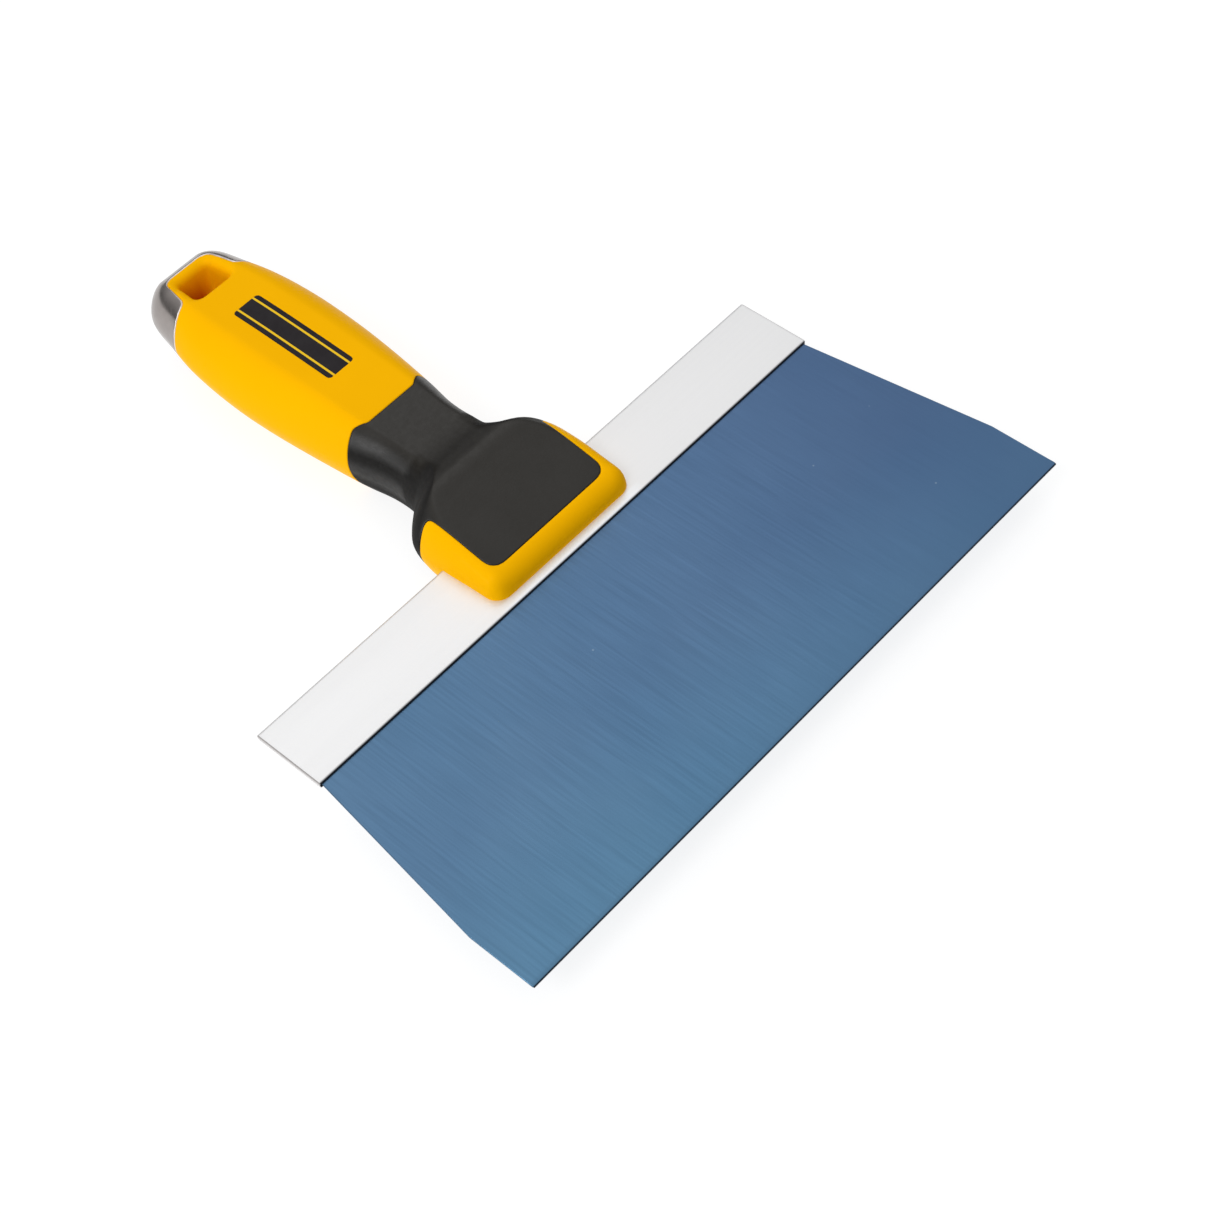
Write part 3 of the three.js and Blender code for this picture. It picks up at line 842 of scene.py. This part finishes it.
def bar():
    """The folded channel: its profile in y and z, carried along x with eased ends."""
    fold = BAR_REAR - BAR_OUTER  # y of the fold's centre
    lip = 0.5  # radius of the front lip
    under = 0.8  # how far the lip's underside is eased
    upper = (
        arc(fold, 0, BAR_OUTER, 0, 90, 10)
        + arc(BAR_FRONT + lip, BAR_OUTER - lip, lip, 90, 180, 6)
        + [(BAR_FRONT + 0.1, BAR_INNER + 0.06), (BAR_FRONT + under, BAR_INNER + 0.02)]
        + [(BAR_FRONT + 2, BAR_INNER)]
        + arc(fold, 0, BAR_INNER, 90, 0, 5)
    )
    lower = [(y, -z) for y, z in reversed(upper[:-1])]
    profile = np.array(upper + lower[:-1])
    ahead, back = np.roll(profile, -1, 0) - profile, profile - np.roll(profile, 1, 0)
    along = ahead / np.linalg.norm(ahead, axis=1)[:, None] + back / np.linalg.norm(back, axis=1)[:, None]
    along /= np.linalg.norm(along, axis=1)[:, None]
    inward = np.stack([-along[:, 1], along[:, 0]], -1)
    ease = 0.14  # how far the ends are eased
    rows = [
        (-BAR_HALF, ease), (-BAR_HALF + 0.04, ease * 0.3),
        (-BAR_HALF + ease, 0), (-BAR_HALF + 0.4, 0),
    ]
    mirrored = [(-x, inset) for x, inset in reversed(rows)]
    first = -BAR_HALF + 6
    rows += [(x, 0) for x in np.linspace(first, -first, 24)] + mirrored
    points = [(x, *(p + inset * d)) for x, inset in rows for p, d in zip(profile, inward)]
    n = len(profile)
    clear = BAR_INNER + 0.1  # further out than the slot's own points
    outside = [i for i, (y, z) in enumerate(profile) if abs(z) > clear or y > fold + clear]
    faces = [tuple(outside), tuple((len(rows) - 1) * n + i for i in reversed(outside))]
    for r in range(len(rows) - 1):
        for i in range(n):
            j = (i + 1) % n
            faces.append((r * n + i, (r + 1) * n + i, (r + 1) * n + j, r * n + j))
    return points, faces


obj = build("backing_bar_sheet", *bar(), bar_aluminium(), sharp=30)
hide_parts("backing_bar")

tang_steel = plain_steel()
for node in ("tang", "tang_rivet_1", "tang_rivet_2", "tang_rivet_3"):
    finishes = frame["nodes"][node].data.materials
    finishes.clear()
    finishes.append(tang_steel)


# ---------------------------------------------------------------- floor, light and camera
# How the room's brightness rises with the upward part of the direction.
ROOM_BRIGHTNESS = {"From Min": 0.05, "From Max": 0.75, "To Min": 0.15, "To Max": 0.78}

# name, place in metres, width in metres, power in watts
LIGHTS = (
    ("overhead", (0.28, 0.58, 0.95), 0.8, 1.04),
    ("key", (-0.8, -0.15, 1.0), 0.45, 3.9),
    ("side", (-1.14, 0.27, 0.25), 0.3, 3.1),
)

CAMERA_PLACE = (-0.20063, -0.27507, 0.40454)  # metres
CAMERA_AHEAD = (0.3914511, 0.4657823, -0.7936075)
CAMERA_UP = (0.6277649, 0.4954007, 0.6004078)
LENS = 75.41  # focal length in mm
SENSOR_WIDTH = 36  # mm


def floor_material():
    """Pale paper, lit from below like the white bed of a product table."""
    mat = material("floor_paper", (0.5, 0.5, 0.5), 0.9, **{"Specular IOR Level": 0.0})
    cloud = spread(mat, noise(mat, 3, 2), 0, 1)
    into(mat, Base_Color=blend(mat, cloud, (0.24, 0.24, 0.24), (0.26, 0.26, 0.26)))
    shader = mat.node_tree.nodes["Principled BSDF"]
    shader.inputs["Emission Color"].default_value = (1, 1, 1, 1)
    shader.inputs["Emission Strength"].default_value = 0.82
    return mat


def floor():
    half = 20  # metres, so that its end is out of sight
    corners = [(-half, -half, 0), (half, -half, 0), (half, half, 0), (-half, half, 0)]
    mesh = bpy.data.meshes.new("floor")
    mesh.from_pydata(corners, [], [(0, 1, 2, 3)])
    mesh.materials.append(floor_material())
    obj = bpy.data.objects.new("floor", mesh)
    bpy.context.scene.collection.objects.link(obj)


def area_light(name, place, size, power):
    """A round soft light that faces the model's origin."""
    light = bpy.data.lights.new(name, "AREA")
    light.shape = "DISK"
    light.size = size
    light.energy = power
    obj = bpy.data.objects.new(name, light)
    obj.location = place
    obj.rotation_mode = "QUATERNION"
    obj.rotation_quaternion = (-Vector(place)).to_track_quat("-Z", "Y")
    bpy.context.scene.collection.objects.link(obj)


def world():
    """A plain room that is brighter overhead."""
    sky = bpy.data.worlds.new("room")
    sky.use_nodes = True
    tree = sky.node_tree
    where = tree.nodes.new("ShaderNodeTexCoord")
    split = tree.nodes.new("ShaderNodeSeparateXYZ")
    ramp = tree.nodes.new("ShaderNodeMapRange")
    for socket, value in ROOM_BRIGHTNESS.items():
        ramp.inputs[socket].default_value = value
    back = tree.nodes["Background"]
    tree.links.new(where.outputs["Generated"], split.inputs["Vector"])
    tree.links.new(split.outputs["Z"], ramp.inputs["Value"])
    tree.links.new(ramp.outputs["Result"], back.inputs["Strength"])
    back.inputs["Color"].default_value = (1, 1, 1, 1)
    bpy.context.scene.world = sky


def camera():
    """The long-lens view from the front left, above the blade."""
    data = bpy.data.cameras.new("camera")
    data.sensor_width = SENSOR_WIDTH
    data.lens = LENS
    obj = bpy.data.objects.new("camera", data)
    ahead = Vector(CAMERA_AHEAD).normalized()
    right = ahead.cross(Vector(CAMERA_UP)).normalized()
    turn = Matrix((right, right.cross(ahead), -ahead)).transposed()
    obj.matrix_world = Matrix.Translation(CAMERA_PLACE) @ turn.to_4x4()
    bpy.context.scene.collection.objects.link(obj)
    bpy.context.scene.camera = obj


floor()
world()
for light in LIGHTS:
    area_light(*light)
camera()
bpy.context.scene.view_settings.view_transform = "Standard"
